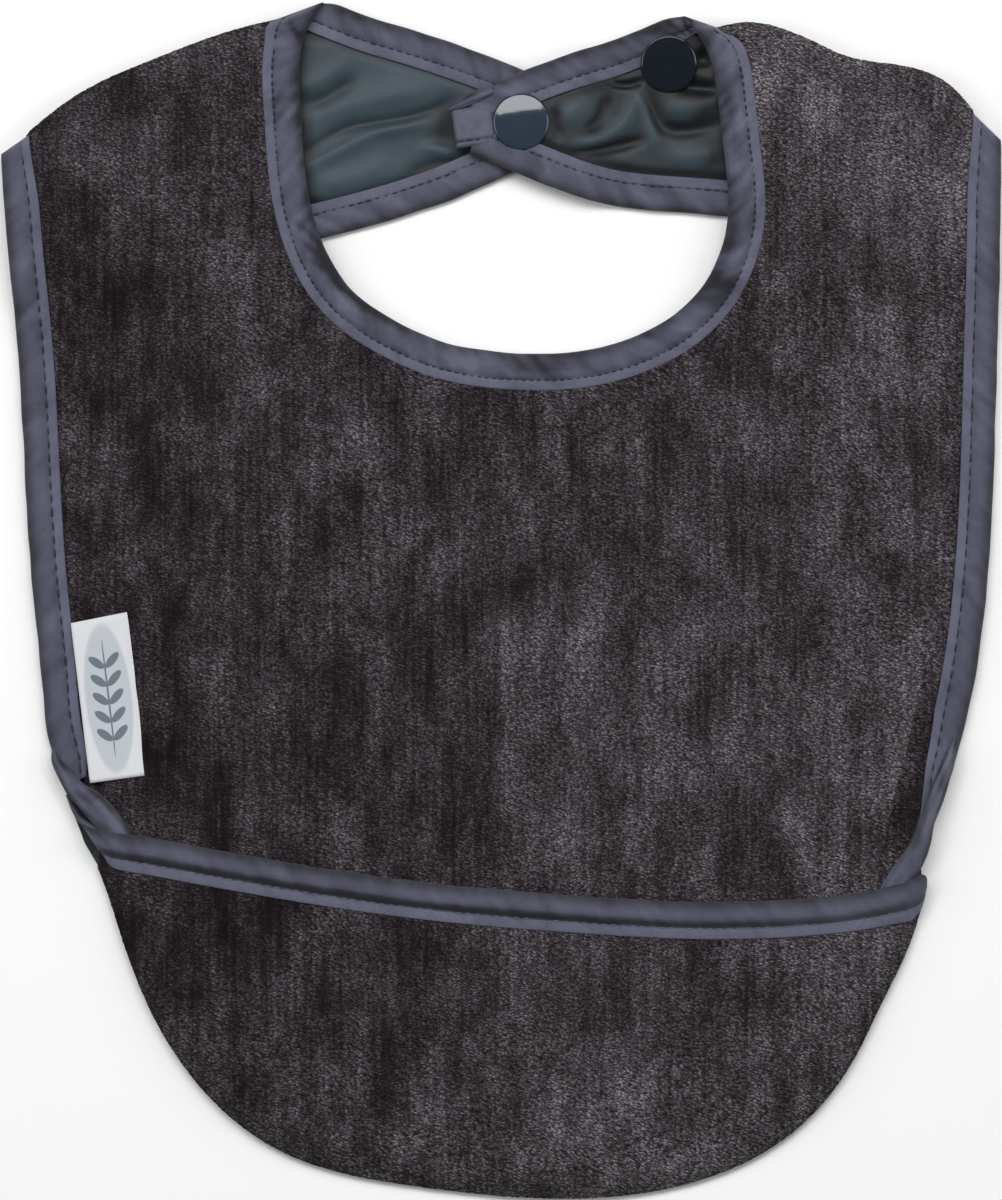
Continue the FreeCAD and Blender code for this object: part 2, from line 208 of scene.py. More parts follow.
def strap_base(x, y):
    """The underside of the right strap."""
    return STRAP_LIFT * (1 - ramp(x, *STRAP_RAMP))


def pocket_top(x, y):
    """The top of the pocket's front, away from its rim."""
    across = 1 - 0.32 * (np.abs(x) / 100.0) ** 3
    down = 1 - 0.22 * np.clip((-y - 80) / 70.0, 0, 1) ** 2
    return POCKET_HEIGHT * across * down


def make(name, verts, faces, material, slot, body=None, replaces=(), uv=None, painted_shade=None):
    """A mesh object from points in millimetres, riding on a body and standing for CAD nodes."""
    mesh = bpy.data.meshes.new(name)
    mesh.from_pydata([tuple(v) for v in np.asarray(verts, float) * MM], [], faces)
    mesh.validate()
    if uv is not None:
        layer = mesh.uv_layers.new(name="tape")
        corner = np.zeros(len(mesh.loops), int)
        mesh.loops.foreach_get("vertex_index", corner)
        layer.data.foreach_set("uv", np.asarray(uv, float)[corner].ravel())
    # Painted shade, from 0 to 1, is kept as a point attribute, which the materials darken the colour by.
    if painted_shade is not None:
        mesh.attributes.new("painted_shade", "FLOAT", "POINT").data.foreach_set("value", painted_shade.astype(np.float32))
    mesh.polygons.foreach_set("use_smooth", [True] * len(mesh.polygons))
    mesh.materials.append(material)
    obj = bpy.data.objects.new(name, mesh)
    bpy.context.scene.collection.objects.link(obj)
    if body:
        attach(obj, body)
    if replaces:
        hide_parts(*replaces)
    return obj


def panel(name, outline, height, step, material, slot, body=None, replaces=(), down=False, painted_shade=None):
    """A sheet inside a closed outline, on an even triangular net, at the height of a function.

    The last argument is a function for how much shade is painted at each point, from 0 to 1, most where it
    lies deep in a fold.
    """
    outline = np.asarray(outline)[:, :2]
    low, high = outline.min(axis=0), outline.max(axis=0)
    rows = np.arange(low[1] + step / 2, high[1], step * 0.866)
    net = []
    for i, y in enumerate(rows):
        x = np.arange(low[0] + step * (0.25 + 0.5 * (i % 2)), high[0], step)
        net.append(np.stack([x, np.full(len(x), y)], axis=1))
    net = np.concatenate(net)
    net = net[inside(outline, net)]
    net = net[distance(resampled(np.vstack([outline, outline[:1]]), step / 2), net) > step * 0.55]
    points = [Vector(p) for p in outline] + [Vector(p) for p in net]
    count = len(outline)
    edges = [(i, (i + 1) % count) for i in range(count)]
    verts, _, faces, *_ = delaunay_2d_cdt(points, edges, [], 1, 1e-5)
    xy = np.array([tuple(v) for v in verts])
    z = height(xy[:, 0], xy[:, 1])
    faces = [tuple(f) if not down else tuple(f)[::-1] for f in faces]
    depth = None if painted_shade is None else painted_shade(xy[:, 0], xy[:, 1])
    return make(name, np.column_stack([xy, z]), faces, material, slot, body, replaces, painted_shade=depth)


def inside(outline, points):
    """Which points lie inside the closed outline."""
    x, y = points[:, 0], points[:, 1]
    result = np.zeros(len(points), bool)
    x0, y0 = outline[-1]
    for x1, y1 in outline:
        if y0 != y1:
            crosses = (y0 > y) != (y1 > y)
            result ^= crosses & (x < (x1 - x0) * (y - y0) / (y1 - y0) + x0)
        x0, y0 = x1, y1
    return result


# ---- Tapes ----
SKEW_LENGTH = 15.0  # over which a tape turns to the slanting direction of its end
END_ROUND = 3.2  # over which a tape's end comes down
PLAN_ROUND = 3.6  # over which a tape's end narrows, where it is round in plan
TAPE_UV = 0.1  # texture lengths per millimetre


def tube_faces(count, ring):
    """The faces round a tube of so many rings, and over its two ends."""
    faces = []
    for i in range(count - 1):
        for j in range(ring):
            k = (j + 1) % ring
            faces.append((i * ring + j, (i + 1) * ring + j, (i + 1) * ring + k, i * ring + k))
    last = (count - 1) * ring
    return faces + [tuple(range(ring)), tuple(last + j for j in range(ring))[::-1]]


def turned_over(faces):
    return [f[::-1] for f in faces]


def tape_section(width, cloth, lip, roll):
    """A folded tape's closed section: distance in from the outer edge, and height above the base."""
    seam = width - lip
    corners = [
        (width, cloth - 0.2), (width, cloth + 0.3), (width - 0.45, cloth + 0.5), (seam + 0.7, cloth + 0.55),
        (seam + 0.25, cloth + 0.42), (seam, cloth + 0.25), (seam - 0.35, cloth + 0.45),
        (seam - 1.1, cloth + 0.5 + 0.5 * roll), (seam * 0.62, cloth + roll + 0.15),
        (seam * 0.3, cloth + roll * 0.8), (0.7, cloth + roll * 0.2), (0.1, cloth * 0.72), (0, cloth * 0.45),
        (0.4, 0.25), (1.4, 0.0), (width * 0.55, 0.0), (width - 0.6, 0.0), (width, 0.35),
    ]
    c = np.array(corners)
    fine = []
    for i in range(len(c)):
        a, b, d, e = c[i - 1], c[i], c[(i + 1) % len(c)], c[(i + 2) % len(c)]
        for t in (0.0, 0.5):
            square, cube = 2 * a - 5 * b + 4 * d - e, 3 * b - a - 3 * d + e
            fine.append(0.5 * (2 * b + (d - a) * t + square * t**2 + cube * t**3))
    return np.array(fine)


def gathers(around, across, seed):
    """The small dents of a gathered tape. around is the place along it, across the place over its width."""
    slant, down = around - 0.9 * across, (0.9 * around + across) * 0.3
    dents = wobble(slant, down, 2.3, seed + 0.5) + 0.9 * wobble(slant, down, 5.5, seed + 9.5)
    return dents * (0.55 + 0.9 * np.abs(wobble(around, across * 0, 16.0, seed + 5.5)))


def brought_down(z, level, to_end):
    """Heights that come down to a level, in a quarter round, at the end."""
    t = np.clip(1 - to_end / END_ROUND, 0, 1)
    return level + (z - level) * np.sqrt(1 - t**2)


def tape(
    name, path, side, base, width, pitch, seed, lip=2.7, roll=1.0, cloth=CLOTH, pucker=0.45, step=0.6,
    start=None, end=None, start_level=None, end_level=None, taper=None, marks=(), seam_shade=0.0,
    round_end=False, count_from_end=False,
):
    """A folded tape along an edge: its mesh, and the line of its seam.

    side is +1 if the cloth is to the left of the path. base is the height that the tape lies at. lip
    is the part of the width inside the seam, roll how fat the tape is outside it, and pitch the
    stitches' spacing. start and end are the directions of the tape's ends, where they aren't square.
    start_level and end_level are the heights that the ends round down to, where the tape turns under.
    taper is the width's share along the tape, and seam_shade how much shade is painted at the roll's foot
    beside the seam. round_end rounds the far end in plan too, marks are single folds, as in folds(), and
    count_from_end starts the stitches and puckers at the far end, to match the next tape there.
    """
    path = smooth(path, step)
    s = lengths(path)
    ends = ((start, start_level, s), (end, end_level, s[-1] - s))
    inward = normals(path) * side
    for direction, _, to_end in ends:
        if direction is not None:
            share = (1 - ramp(to_end, 0, SKEW_LENGTH))[:, None]
            inward = inward * (1 - share) + np.array(direction) / width * share
    inward_x, inward_y = inward[:, 0][:, None], inward[:, 1][:, None]
    section = tape_section(width, cloth, lip, roll)
    count, ring = len(path), len(section)
    u, v = section[:, 0][None, :], section[:, 1][None, :]
    seam_at = width - lip
    scale = np.ones(count) if taper is None else np.interp(s / s[-1], *taper)
    flatten = 0.55 + 0.45 * scale
    x = path[:, 0][:, None] + inward_x * u * scale[:, None]
    y = path[:, 1][:, None] + inward_y * u * scale[:, None]
    counted = s - s[-1] if count_from_end else s
    around = np.repeat(counted[:, None], ring, 1)
    wide = np.repeat(u, count, 0)
    dents = gathers(around, wide, seed).reshape(count, ring)
    broad = 0.45 * pucker * wobble(around, wide * 1.5, 22.0, seed + 7.5).reshape(count, ring)
    marked = folds(x.ravel(), y.ravel(), marks).reshape(count, ring)

    # Painted shade at each point: dark on the outer flank, at the roll's foot by the seam, in the dents and
    # in the folds, lighter on the flat lip, with broad changes along the tape.
    flank = 0.7 * np.clip(1 - u / 3.4, 0, 1) ** 1.5 * (v > 0.3)
    foot = seam_shade * (1 - 0.5 * ramp(x, 0, 90)) * np.exp(-(((u - (seam_at - 1.1)) / 1.0) ** 2))
    flank = flank + foot - 0.32 * (u > seam_at)
    painted_shade = np.clip(0.29 + flank - broad - 0.9 * pucker * dents - 0.9 * marked, 0, 1)

    # The upper side has dents, which are small on the lip, and is drawn down at each stitch.
    holes = np.cos(2 * pi * (around - GAP + 0.16 * pitch) / pitch)
    stitches = -0.3 * pucker * holes * np.exp(-(((u - seam_at) / 0.8) ** 2))
    upper = ramp(np.repeat(v, count, 0), cloth * 0.5, cloth)
    calm = 1 - 0.6 * ramp(u, seam_at - 0.3, seam_at + 0.6)
    z = base(x.ravel(), y.ravel()).reshape(count, ring) + v * flatten[:, None]
    z += upper * (pucker * calm * dents + stitches + marked)
    edge = (wobble(counted, s * 0, 9.0, seed + 3.1) * 0.22)[:, None] * (u < width * 0.7)
    x += inward_x * edge
    y += inward_y * edge
    if round_end:
        t = np.clip(1 - (s[-1] - s) / PLAN_ROUND, 0, 1)
        drawn_in = (1 - 0.7 * (1 - np.sqrt(1 - t**2)))[:, None]
        middle_x, middle_y = x.mean(axis=1)[:, None], y.mean(axis=1)[:, None]
        x = middle_x + (x - middle_x) * drawn_in
        y = middle_y + (y - middle_y) * drawn_in
    seam = path[:, :2] + inward * (seam_at * scale)[:, None]
    seam_z = base(seam[:, 0], seam[:, 1]) + (cloth + 0.3) * flatten
    for _, level, to_end in ends:
        if level is not None:
            z = brought_down(z, level, to_end[:, None])
            seam_z = brought_down(seam_z, level, to_end)

    faces = tube_faces(count, ring)
    round_section = np.repeat(lengths(section)[None, :], count, 0)
    return {
        "name": name,
        "verts": np.stack([x.ravel(), y.ravel(), z.ravel()], axis=1),
        "faces": turned_over(faces) if side > 0 else faces,
        "uv": np.stack([around.ravel(), round_section.ravel()], axis=1) * TAPE_UV,
        "painted_shade": painted_shade.ravel(),
        "pitch": pitch,
        "seed": seed,
        "seam": np.column_stack([seam, seam_z]),
    }


def stitch_mesh(line, pitch, seed, gap=(GAP, GAP)):
    """Separate short threads along a line, each sunk at both ends. gap is left free at the line's ends."""
    fine, rings, sides = 0.1, 5, 6
    line = resampled(line, fine)
    total = (len(line) - 1) * fine
    length = pitch * 0.68
    verts, faces = [], []
    at = gap[0]
    number = 0
    while at + pitch < total - gap[1]:
        shift = 0.12 * noise((number * 0.7, seed, 0.3))
        for k in range(rings):
            f = k / (rings - 1)
            i = min(len(line) - 2, int((at + f * length) / fine))
            d = line[i + 1] - line[i]
            d /= np.linalg.norm(d)
            n = np.array([-d[1], d[0], 0.0])
            fat = THREAD_RADIUS * (0.55 + 0.45 * sin(pi * f))
            rise = 0.16 * sin(pi * f) - 0.06
            for j in range(sides):
                a = 2 * pi * j / sides
                verts.append(line[i] + n * (shift + cos(a) * fat) + np.array([0, 0, rise + sin(a) * fat]))
        first = number * rings * sides
        faces += [tuple(first + corner for corner in face) for face in tube_faces(rings, sides)]
        number += 1
        at += pitch
    return np.array(verts), faces


def add_tape(t, body="bib", replaces=None, material=None):
    """A tape and its row of stitches, as two pieces. The tape stands for its namesake, or as told."""
    band = make(
        t["name"], t["verts"], t["faces"], BINDING, "binding", body, replaces or [t["name"]],
        uv=t["uv"], painted_shade=t["painted_shade"],
    )
    verts, faces = stitch_mesh(t["seam"], t["pitch"], t["seed"])
    thread = make(t["name"] + "_stitches", verts, faces, material or THREAD, "binding", body)
    return band, thread


# ---- Materials ----


def srgb(r, g, b):
    """A linear colour from screen values out of 255."""
    out = []
    for c in (r, g, b):
        c /= 255
        out.append(c / 12.92 if c <= 0.04045 else ((c + 0.055) / 1.055) ** 2.4)
    return (*out, 1.0)


class Nodes:
    """A short way to write a material's node tree."""

    def __init__(self, name):
        self.material = bpy.data.materials.new(name)
        self.material.use_nodes = True
        self.tree = self.material.node_tree
        self.shader = self.tree.nodes["Principled BSDF"]
        coordinates = self.tree.nodes.new("ShaderNodeTexCoord")
        self.place = coordinates.outputs["Object"]
        self.uv = coordinates.outputs["UV"]

    def set(self, **values):
        """Sets the shader's inputs, named with _ for a space."""
        for key, value in values.items():
            self.put(self.shader.inputs[key.replace("_", " ")], value)

    def put(self, socket, value):
        """Links or sets an input."""
        if isinstance(value, bpy.types.NodeSocket):
            self.tree.links.new(value, socket)
        else:
            socket.default_value = value

    def node(self, kind, inputs, output=0, **settings):
        """Adds a node and returns one of its outputs."""
        n = self.tree.nodes.new(kind)
        for key, value in settings.items():
            setattr(n, key, value)
        for key, value in inputs.items():
            self.put(n.inputs[key], value)
        return n.outputs[output]

    def math(self, operation, a, b=0.0, c=0.0):
        return self.node("ShaderNodeMath", {0: a, 1: b, 2: c}, operation=operation)

    def moved(self, vector, scale=(1, 1, 1), turn=0.0):
        return self.node("ShaderNodeMapping", {"Vector": vector, "Scale": scale, "Rotation": (0, 0, turn)})

    def noise(self, vector, scale, detail=2.0, roughness=0.5):
        inputs = {"Vector": vector, "Scale": scale, "Detail": detail, "Roughness": roughness}
        return self.node("ShaderNodeTexNoise", inputs)

    def spread(self, value, low, high, to_low=0.0, to_high=1.0):
        inputs = {"Value": value, "From Min": low, "From Max": high, "To Min": to_low, "To Max": to_high}
        return self.node("ShaderNodeMapRange", inputs)

    def mix(self, share, a, b):
        """The colour a where share is 0 and b where it is 1."""
        n = self.tree.nodes.new("ShaderNodeMix")
        n.data_type = "RGBA"
        self.put(n.inputs["Factor"], share)
        self.put(n.inputs[6], a)
        self.put(n.inputs[7], b)
        return n.outputs[2]

    def bump(self, height, strength, depth, normal=None):
        inputs = {"Height": height, "Strength": strength, "Distance": depth}
        if normal is not None:
            inputs["Normal"] = normal
        return self.node("ShaderNodeBump", inputs)


def towelling_material():
    """Velour towelling: a brushed pile of short slanting tufts, with wales and lighter patches.

    Beside the right side's tape a dark strip of painted shade, with a pale ridge of painted light next to
    it, stands for the nap lying away from the light. Broad painted light makes the pile lighter towards the
    right and over the shoulders, where it catches the light, and it is lighter towards the bottom.
    """
    m = Nodes("towelling")
    swirl = m.node("ShaderNodeTexNoise", {"Vector": m.place, "Scale": 45.0, "Detail": 2.0}, 1)
    bent = m.node(
        "ShaderNodeVectorMath", {0: swirl, 1: (0.004, 0.004, 0.0), 2: m.place}, operation="MULTIPLY_ADD"
    )
    slanted = m.moved(m.moved(bent, turn=0.32), (1050, 2500, 400))
    cells = m.node("ShaderNodeTexVoronoi", {"Vector": slanted, "Scale": 1.0})
    tone = m.node("ShaderNodeSeparateColor", {"Color": cells.node.outputs["Color"]})
    flecks = m.noise(m.moved(m.moved(bent, turn=0.45), (1700, 3900, 900)), 1.0, 1.0, 0.5)
    tufts = m.math("MULTIPLY", m.spread(cells, 0.72, 0.08), m.math("MULTIPLY_ADD", tone, 0.75, 0.25))
    tufts = m.math("MULTIPLY_ADD", m.spread(flecks, 0.35, 0.75), 0.35, m.math("MULTIPLY", tufts, 0.8))
    wales = m.noise(m.moved(m.place, (900, 34, 60)), 1.0, 3.0, 0.6)
    patches = m.noise(m.moved(m.place, (1.15, 0.75, 1)), 58.0, 5.0, 0.66)
    brushed = m.noise(m.moved(m.place, (150, 42, 1)), 1.0, 3.0, 0.6)
    broad = m.noise(m.place, 15.0, 2.0)
    x, y, _ = m.node("ShaderNodeSeparateXYZ", {"Vector": m.place}).node.outputs
    # The nap's tone: random patches and brushed streaks, with broad painted light, lighter towards the
    # right and over the shoulders; it is also lighter towards the bottom.
    tone_and_painted_light = m.math("MULTIPLY_ADD", m.spread(patches, 0.36, 0.7), 0.6, m.spread(x, -0.12, 0.12, -0.14, 0.19))
    tone_and_painted_light = m.math("ADD", m.spread(m.math("ADD", x, y), 0.13, 0.25, 0.0, 0.16), tone_and_painted_light)
    tone_and_painted_light = m.math("ADD", m.spread(y, -0.15, -0.09, 0.24, 0.03), tone_and_painted_light)
    tone_and_painted_light = m.math("ADD", m.spread(y, 0.06, 0.14, 0.0, 0.16), tone_and_painted_light)
    layers = ((brushed, 0.32, 0.72, 0.32), (broad, 0.34, 0.7, 0.16), (wales, 0.3, 0.75, 0.36))
    for pattern, low, high, share in layers:
        tone_and_painted_light = m.math("MULTIPLY_ADD", m.spread(pattern, low, high), share, tone_and_painted_light)
    # Painted shade and light beside the right side's tape: a dark strip along the tape's edge and a pale
    # ridge on its inner side.
    beside = m.math("MULTIPLY_ADD", y, -0.25, x)
    beside = m.math("MULTIPLY_ADD", m.spread(brushed, 0.3, 0.7), 0.0016, beside)
    level = m.math("MULTIPLY", m.spread(y, -0.02, -0.032), m.spread(y, -0.064, -0.054))
    painted_light_ridge = m.math("MULTIPLY", m.spread(beside, 0.102, 0.11), m.spread(beside, 0.1118, 0.111))
    tone_and_painted_light = m.math("MULTIPLY_ADD", m.math("MULTIPLY", painted_light_ridge, level), 0.2, tone_and_painted_light)
    painted_shade_strip = m.spread(beside, 0.1112, 0.112)
    tone_and_painted_light = m.math("MULTIPLY_ADD", m.math("MULTIPLY", painted_shade_strip, level), -0.3, tone_and_painted_light)
    tone_and_painted_light = m.math("MAXIMUM", tone_and_painted_light, 0.0)
    shade = m.math("MULTIPLY", m.math("POWER", tone_and_painted_light, 1.2), m.math("MULTIPLY_ADD", tufts, 1.03, 0.06))
    shade = m.math("POWER", m.math("MINIMUM", shade, 1.0), 1.6)
    colour = m.mix(shade, srgb(17, 10, 13), srgb(144, 138, 144))
    pile = m.bump(tufts, 0.6, 0.0004, m.bump(patches, 0.3, 0.002))
    m.set(Base_Color=colour, Roughness=0.95, Normal=pile, Sheen_Weight=0.06, Sheen_Roughness=0.4)
    m.set(Sheen_Tint=srgb(200, 188, 194), Specular_IOR_Level=0.1)
    return m.material


def binding_material():
    """Bias tape: a fine plain weave that runs at 45 degrees to the tape, with shade painted into its
    puckers.
    """
    m = Nodes("binding")
    weave_scale = 30.0
    across = m.node("ShaderNodeTexWave", {"Vector": m.moved(m.uv, (1, 1, 1), pi / 4), "Scale": weave_scale})
    along = m.node("ShaderNodeTexWave", {"Vector": m.moved(m.uv, (1, 1, 1), -pi / 4), "Scale": weave_scale})
    weave = m.math("MAXIMUM", across, along)
    slub = m.noise(m.moved(m.moved(m.uv, turn=pi / 4), (7, 70, 1)), 1.0, 3.0)
    cloud = m.noise(m.place, 110.0, 4.0, 0.6)
    painted_shade = m.node("ShaderNodeAttribute", {}, 2, attribute_name="painted_shade")
    tone = m.math("MULTIPLY_ADD", weave, 0.3, m.math("MULTIPLY", m.spread(slub, 0.3, 0.7), 0.35))
    tone = m.math("MULTIPLY_ADD", m.spread(cloud, 0.3, 0.7), 0.35, tone)
    colour = m.mix(tone, srgb(66, 67, 82), srgb(110, 111, 130))
    # Painted shade: the tape's colour goes darker by its shade attribute.
    colour = m.mix(painted_shade, colour, srgb(34, 33, 42))
    m.set(Base_Color=colour, Roughness=0.8, Sheen_Weight=0.1, Sheen_Roughness=0.5)
    m.set(Normal=m.bump(weave, 0.5, 0.0001, m.bump(slub, 0.3, 0.0003)), Specular_IOR_Level=0.25)
    return m.material


def nylon_material():
    """Proofed nylon: smooth and closely woven, with a satin sheen, and with shade painted into its folds.
    """
    m = Nodes("nylon")
    ribs = m.node("ShaderNodeTexWave", {"Vector": m.place, "Scale": 700.0, "Distortion": 0.4})
    cloud = m.noise(m.place, 60.0, 3.0)
    painted_shade = m.node("ShaderNodeAttribute", {}, 2, attribute_name="painted_shade")
    colour = m.mix(m.spread(cloud, 0.3, 0.7), srgb(42, 54, 61), srgb(52, 66, 74))
    # Painted shade: the nylon goes near black by its shade attribute, in folds and under the tapes.
    colour = m.mix(painted_shade, colour, srgb(8, 12, 16))
    m.set(Base_Color=colour, Roughness=0.5, Specular_IOR_Level=0.3)
    m.set(Normal=m.bump(ribs, 0.25, 0.00005, m.bump(cloud, 0.2, 0.001)))
    return m.material


def thread_material(name, dark, pale):
    """Stitching thread: two plies twisted together."""
    m = Nodes(name)
    twist = m.node("ShaderNodeTexWave", {"Vector": m.moved(m.place, (1, 1, 1), 0.8), "Scale": 900.0})
    m.set(Base_Color=m.mix(twist, dark, pale), Roughness=0.6)
    m.set(Normal=m.bump(twist, 0.4, 0.0001))
    return m.material


def plastic_material():
    """Moulded plastic: glossy, with faint waves in its surface, and darkened by painted shade where a piece
    has it.
    """
    m = Nodes("snap_plastic")
    waves = m.noise(m.place, 120.0, 2.0)
    scuffs = m.noise(m.moved(m.place, (1, 4, 1), 0.5), 900.0, 3.0)
    painted_shade = m.node("ShaderNodeAttribute", {}, 2, attribute_name="painted_shade")
    colour = m.mix(waves, srgb(33, 43, 55), srgb(47, 59, 72))
    # Painted shade: the colour goes near black by the piece's shade attribute.
    m.set(Base_Color=m.mix(painted_shade, colour, srgb(8, 12, 18)))
    m.set(Roughness=m.spread(scuffs, 0.3, 0.8, 0.07, 0.13), Specular_IOR_Level=0.55)
    m.set(Normal=m.bump(waves, 0.1, 0.0005))
    return m.material


def label_material():
    """Woven ribbon: fine ribs, a pale grey oval and a plain leaf sprig in the oval."""
    m = Nodes("label")
    ribs = m.node("ShaderNodeTexWave", {"Vector": m.moved(m.uv, (1, 1, 1), pi / 2), "Scale": 26.0})
    warp = m.node("ShaderNodeTexWave", {"Vector": m.uv, "Scale": 34.0})
    x, y, _ = m.node("ShaderNodeSeparateXYZ", {"Vector": m.uv}).node.outputs
    middle = 0.72, 2.05

    def oval(cx, cy, rx, ry, turn=0.0):
        """1 inside an oval and 0 outside it, in the label's own lengths."""
        dx, dy = m.math("SUBTRACT", x, cx), m.math("SUBTRACT", y, cy)
        c, s = cos(turn), sin(turn)
        px = m.math("ADD", m.math("MULTIPLY", dx, c / rx), m.math("MULTIPLY", dy, s / rx))
        py = m.math("ADD", m.math("MULTIPLY", dx, -s / ry), m.math("MULTIPLY", dy, c / ry))
        reach = m.math("ADD", m.math("MULTIPLY", px, px), m.math("MULTIPLY", py, py))
        return m.spread(reach, 0.9, 1.1, 1.0, 0.0)

    sprig = oval(*middle, 0.025, 1.5)
    for pair in range(5):
        level = 1.15 + 0.46 * pair
        for sign in (-1, 1):
            leaf = oval(middle[0] + sign * 0.2, level, 0.24, 0.1, sign * 0.75)
            sprig = m.math("MAXIMUM", sprig, leaf)
    white, grey = srgb(211, 212, 216), srgb(182, 187, 194)
    colour = m.mix(oval(*middle, 0.58, 1.88), white, grey)
    colour = m.mix(sprig, colour, srgb(92, 104, 114))
    weave = m.math("MULTIPLY", ribs, warp)
    m.set(Base_Color=m.mix(m.math("MULTIPLY", weave, 0.14), colour, srgb(150, 152, 158)))
    m.set(Roughness=0.55, Normal=m.bump(weave, 0.4, 0.00008), Sheen_Weight=0.2)
    return m.material


def floor_material():
    """A pale studio floor, very slightly uneven."""
    m = Nodes("floor")
    cloud = m.noise(m.place, 3.0, 2.0)
    m.set(Base_Color=m.mix(cloud, (0.86, 0.86, 0.86, 1), (0.88, 0.88, 0.88, 1)), Roughness=0.9)
    return m.material


TOWELLING, BINDING, NYLON = towelling_material(), binding_material(), nylon_material()
THREAD = thread_material("thread", srgb(16, 16, 26), srgb(36, 36, 52))
PALE_THREAD = thread_material("pale_thread", srgb(62, 62, 76), srgb(104, 104, 118))
PLASTIC, LABEL = plastic_material(), label_material()

# ---- The body ----
left_side, right_side = smooth(LEFT_SIDE), smooth(RIGHT_SIDE)
left_shoulder, right_shoulder = smooth(LEFT_SHOULDER), smooth(RIGHT_SHOULDER)
neck, rim, mouth = smooth(NECK), smooth(RIM), smooth(MOUTH)
shoulders = np.vstack([left_shoulder, right_shoulder])
bound_edges = np.vstack([left_side, right_side, neck])


def shoulder_round(x, y, top, middle):
    """How the cloth's top comes down to the middle of the turn at a shoulder."""
    d = np.clip(distance(shoulders, np.stack([x, y], axis=1)) / SHOULDER_RADIUS, 0, 1)
    return middle + (top - middle) * np.sqrt(np.clip(1 - (1 - d) ** 2, 0, 1))


def body_top(x, y):
    """The towelling's face: soft waves, dips beside the tapes and round turns at the shoulders."""
    past_lip = distance(bound_edges, np.stack([x, y], axis=1)) - TAPE_WIDTH
    waves = 0.5 * wobble(x, y, 42, 1.5) + 0.22 * wobble(x, y, 13, 4.5) + 0.07 * wobble(x, y * 0.5, 4, 7.5)
    top = body_base(x, y) + CLOTH - 0.5 + 0.95 * ramp(past_lip, -0.9, 0.6)
    top += (0.5 + waves) * ramp(past_lip, 0, 8)
    return shoulder_round(x, y, top, SHOULDER_TOP / 2)


BODY_INSET = 4.5  # how far the towelling's cut edge lies inside the tapes
SHORT = slice(8, -8)  # leaves out the neck edge's ends, which stand beyond the shoulders
body_outline = np.vstack([
    offset(rim, 3.2),
    [(104, -64)],
    offset(right_side, BODY_INSET),
    fuzzy(right_shoulder)[::-1],
    offset(neck, -BODY_INSET)[SHORT][::-1],
    fuzzy(left_shoulder)[::-1],
    offset(left_side, -BODY_INSET)[::-1],
    [(-103, -50)],
])
panel("front_towelling", body_outline, body_top, 1.3, TOWELLING, "towelling", "bib", ["front_towelling"])

back_outline = np.vstack([
    [(-108, -47.5), (-106.8, -54), (-104.2, -61)],
    offset(rim, 0.3),
    [(105, -64)],
    offset(right_side, 1.5),
    offset(right_shoulder, -4)[::-1],
    offset(neck, -2)[SHORT][::-1],
    offset(left_shoulder, -4)[::-1],
    offset(left_side, -1.5)[::-1],
])


def back_height(x, y):
    """The nylon of the back lies on the floor in faint waves."""
    waves = 0.25 * (1 + wobble(x, y, 20, 2.5))
    return body_base(x, y) + waves + 0.05


def corner_painted_shade(x, y):
    """Painted shade in the pocket's left corner, which lies deep."""
    return 0.8 * np.exp(-((np.hypot(x + 105.5, y + 57) / 8) ** 2))


panel(
    "back_nylon", back_outline, back_height, 3.0, NYLON, "nylon", "bib", ["back_nylon"],
    down=True, painted_shade=corner_painted_shade,
)

NECK_MARKS = [
    ([(-53.4, 145), (-50.5, 141), (-47.2, 138.2)], 0.7, -0.7),
    ([(-52.2, 95), (-48, 91.6), (-44.7, 87.5)], 0.8, -0.5),
    ([(-50.3, 90), (-46, 86.4), (-42.1, 82)], 0.8, -0.6),
    ([(-47.2, 85), (-42.6, 81.2), (-38.5, 76.3)], 0.9, -0.7),
    ([(-42.8, 80), (-38.2, 76.6), (-34, 72.5)], 0.8, -0.6),
    ([(-35.3, 73.8), (-31.4, 71.8), (-27.8, 68.8)], 0.8, -0.5),
    ([(0, 59.2), (10, 58.2), (21, 58.8)], 1.7, -0.5),
    ([(55.9, 131), (57.8, 120), (59, 109)], 1.5, -0.5),
    ([(59.2, 97), (57.4, 88), (54, 80)], 1.4, -0.45),
]
add_tape(tape(
    "neck_binding", NECK, -1, body_base, width=9.2, pitch=1.9, seed=11, lip=2.5, pucker=0.6,
    start=(-13, -4.8), end=(8, -2.8), start_level=3.2, end_level=3.2, marks=NECK_MARKS,
))
add_tape(tape(
    "left_side_binding", LEFT_SIDE, -1, body_base, width=8.8, pitch=3.4, seed=23, lip=2.4,
    end=(7, 4.9), end_level=3.2, pucker=0.3, taper=([0, 0.03, 0.06, 1], [0.6, 0.9, 1, 1]),
))
add_tape(tape(
    "right_side_binding", RIGHT_SIDE, 1, body_base, width=8.4, pitch=3.4, seed=37, lip=2.4,
    start=(-7, -3.5), end=(-7, 6.8), end_level=3.2, pucker=0.3,
    taper=([0, 0.03, 0.09, 0.17, 1], [0.38, 0.62, 0.82, 1, 1]),
))


